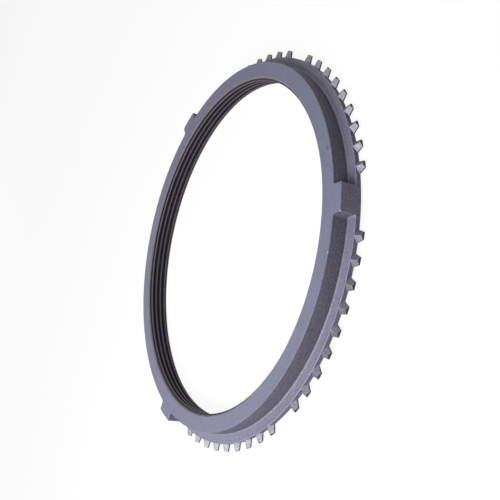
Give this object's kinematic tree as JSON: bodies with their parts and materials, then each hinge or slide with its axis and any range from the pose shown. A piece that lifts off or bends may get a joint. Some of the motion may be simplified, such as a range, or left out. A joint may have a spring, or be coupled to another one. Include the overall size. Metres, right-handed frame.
{
  "type": "synchronizer ring",
  "caption": "Steel synchronizer ring: a short neck with index lugs, a grooved friction cone inside it, and a thin flange set with blocking teeth that end in roof-shaped points.",
  "frame": {"origin": "on the ring's axis, at the plane of the rear rim on which the ring lies", "axes": "+Z along the ring's axis from the gear side to the hub side, +X through the middle of one index lug"},
  "size_m": [0.159, 0.16, 0.0095],
  "materials": {
    "ring_steel": "matt, finely ground steel, dark in the oiled grooves of the cone"
  },
  "bodies": {
    "root": {"synchronizer_ring": "ring_steel"}
  },
  "joints": []
}
